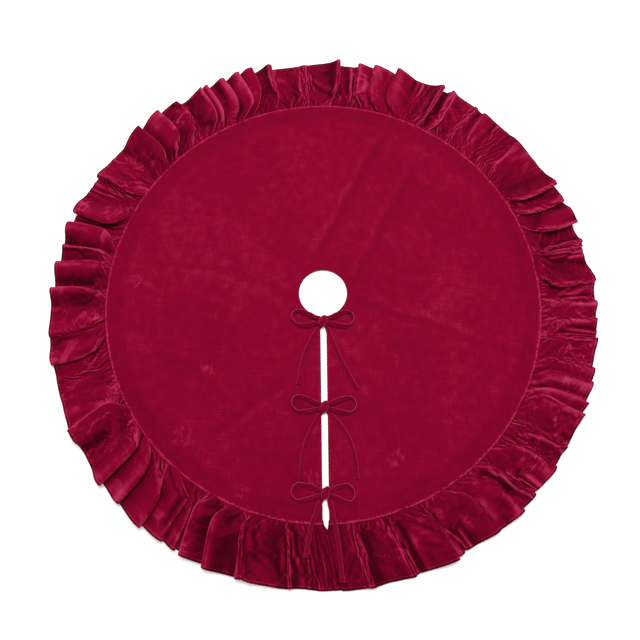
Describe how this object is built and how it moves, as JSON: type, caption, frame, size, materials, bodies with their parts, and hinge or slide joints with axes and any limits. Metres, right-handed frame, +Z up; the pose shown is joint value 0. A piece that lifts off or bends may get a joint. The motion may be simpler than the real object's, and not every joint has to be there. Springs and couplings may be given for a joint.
{
  "type": "tree skirt",
  "caption": "Round gathered velvet tree skirt with a centre trunk hole, a ruffled edge and a straight slit closed by tied bows.",
  "frame": {"origin": "on the floor under the middle of the trunk hole", "axes": "+Z up, -Y towards the slit and its bows, +X to the right seen from the slit side"},
  "size_m": [1.214, 1.214, 0.0176],
  "materials": {
    "velvet_panel": "satin",
    "velvet_ruffle": "satin",
    "lining": "satin",
    "velvet_tie": "satin"
  },
  "bodies": {
    "back": {"velvet_back_left": "velvet_panel", "velvet_back_right": "velvet_panel", "lining_back_left": "lining", "lining_back_right": "lining", "ruffle_back_left": "velvet_ruffle", "ruffle_back_right": "velvet_ruffle"},
    "front": {"velvet_front_left": "velvet_panel", "velvet_front_right": "velvet_panel", "lining_front_left": "lining", "lining_front_right": "lining", "ruffle_front_left": "velvet_ruffle", "ruffle_front_right": "velvet_ruffle", "bow1_knot": "velvet_tie", "bow1_root_left": "velvet_tie", "bow1_root_right": "velvet_tie", "bow2_knot": "velvet_tie", "bow2_root_left": "velvet_tie", "bow2_root_right": "velvet_tie", "bow3_knot": "velvet_tie", "bow3_root_left": "velvet_tie", "bow3_root_right": "velvet_tie"},
    "bow1_loop_left": {"bow1_loop_left": "velvet_tie"},
    "bow1_tail_left": {"bow1_tail_left": "velvet_tie"},
    "bow1_loop_right": {"bow1_loop_right": "velvet_tie"},
    "bow1_tail_right": {"bow1_tail_right": "velvet_tie"},
    "bow2_loop_left": {"bow2_loop_left": "velvet_tie"},
    "bow2_tail_left": {"bow2_tail_left": "velvet_tie"},
    "bow2_loop_right": {"bow2_loop_right": "velvet_tie"},
    "bow2_tail_right": {"bow2_tail_right": "velvet_tie"},
    "bow3_loop_left": {"bow3_loop_left": "velvet_tie"},
    "bow3_tail_left": {"bow3_tail_left": "velvet_tie"},
    "bow3_loop_right": {"bow3_loop_right": "velvet_tie"},
    "bow3_tail_right": {"bow3_tail_right": "velvet_tie"}
  },
  "joints": [
    {"name": "front_fold", "type": "hinge", "parent": "back", "child": "front", "pos_m": [0, 0, 0.023], "axis": [-1, 0, 0], "range_deg": [0, 175]},
    {"name": "bow1_left_loop_lift", "type": "hinge", "parent": "front", "child": "bow1_loop_left", "pos_m": [-0.0105, -0.0655, 0.01185], "axis": [0, 1, 0], "range_deg": [0, 30]},
    {"name": "bow1_left_tail_swing", "type": "hinge", "parent": "front", "child": "bow1_tail_left", "pos_m": [-0.0062, -0.078, 0.0041], "axis": [0, 0, -1], "range_deg": [-10, 25]},
    {"name": "bow1_right_loop_lift", "type": "hinge", "parent": "front", "child": "bow1_loop_right", "pos_m": [0.0105, -0.0655, 0.01185], "axis": [0, -1, 0], "range_deg": [0, 30]},
    {"name": "bow1_right_tail_swing", "type": "hinge", "parent": "front", "child": "bow1_tail_right", "pos_m": [0.0062, -0.078, 0.0041], "axis": [0, 0, 1], "range_deg": [-8, 25]},
    {"name": "bow2_left_loop_lift", "type": "hinge", "parent": "front", "child": "bow2_loop_left", "pos_m": [-0.0105, -0.25166, 0.01185], "axis": [0, 1, 0], "range_deg": [0, 60]},
    {"name": "bow2_left_tail_swing", "type": "hinge", "parent": "front", "child": "bow2_tail_left", "pos_m": [-0.0062, -0.26416, 0.0041], "axis": [0, 0, -1], "range_deg": [-4, 25]},
    {"name": "bow2_right_loop_lift", "type": "hinge", "parent": "front", "child": "bow2_loop_right", "pos_m": [0.0105, -0.25166, 0.01185], "axis": [0, -1, 0], "range_deg": [0, 60]},
    {"name": "bow2_right_tail_swing", "type": "hinge", "parent": "front", "child": "bow2_tail_right", "pos_m": [0.0062, -0.26416, 0.0041], "axis": [0, 0, 1], "range_deg": [0, 25]},
    {"name": "bow3_left_loop_lift", "type": "hinge", "parent": "front", "child": "bow3_loop_left", "pos_m": [-0.0105, -0.4235, 0.01185], "axis": [0, 1, 0], "range_deg": [0, 60]},
    {"name": "bow3_left_tail_swing", "type": "hinge", "parent": "front", "child": "bow3_tail_left", "pos_m": [-0.0062, -0.436, 0.0041], "axis": [0, 0, -1], "range_deg": [-6, 25]},
    {"name": "bow3_right_loop_lift", "type": "hinge", "parent": "front", "child": "bow3_loop_right", "pos_m": [0.0105, -0.4235, 0.01185], "axis": [0, -1, 0], "range_deg": [0, 60]},
    {"name": "bow3_right_tail_swing", "type": "hinge", "parent": "front", "child": "bow3_tail_right", "pos_m": [0.0062, -0.436, 0.0041], "axis": [0, 0, 1], "range_deg": [0, 12]}
  ]
}
